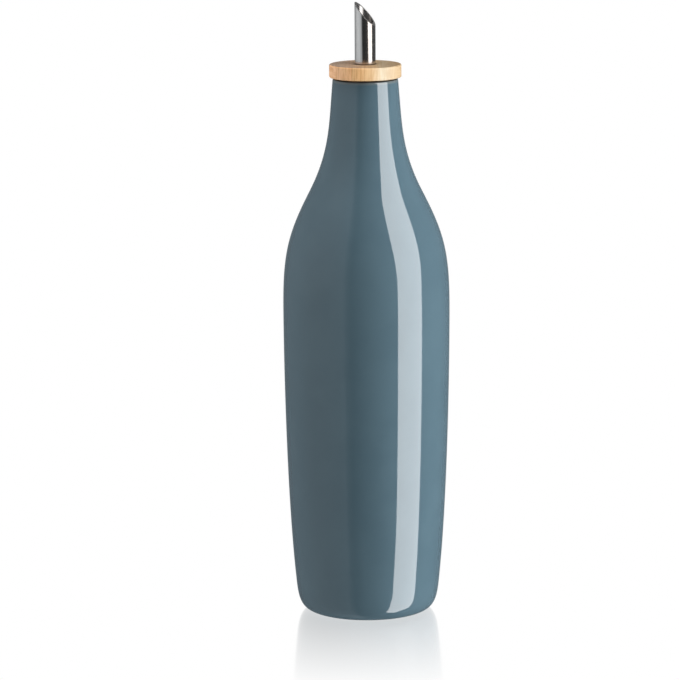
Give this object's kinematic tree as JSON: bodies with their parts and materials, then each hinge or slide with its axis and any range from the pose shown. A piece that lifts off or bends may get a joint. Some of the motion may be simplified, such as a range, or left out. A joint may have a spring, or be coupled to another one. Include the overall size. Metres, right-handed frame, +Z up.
{
  "type": "ceramic oil dispenser",
  "caption": "Tall glazed ceramic bottle for cooking oil, closed by a wooden plug cap that holds a steel pouring tube with a slanted tip.",
  "frame": {"origin": "middle of the foot ring, on the surface that the bottle stands on", "axes": "+Z up along the bottle's axis, +X the way it pours, towards the low side of the tube's slanted tip"},
  "size_m": [0.078, 0.078, 0.2882],
  "materials": {
    "glaze": "gloss",
    "bamboo": "satin",
    "steel": "polished"
  },
  "bodies": {
    "root": {"bottle": "glaze", "cap": "bamboo", "spout": "steel"}
  },
  "joints": []
}
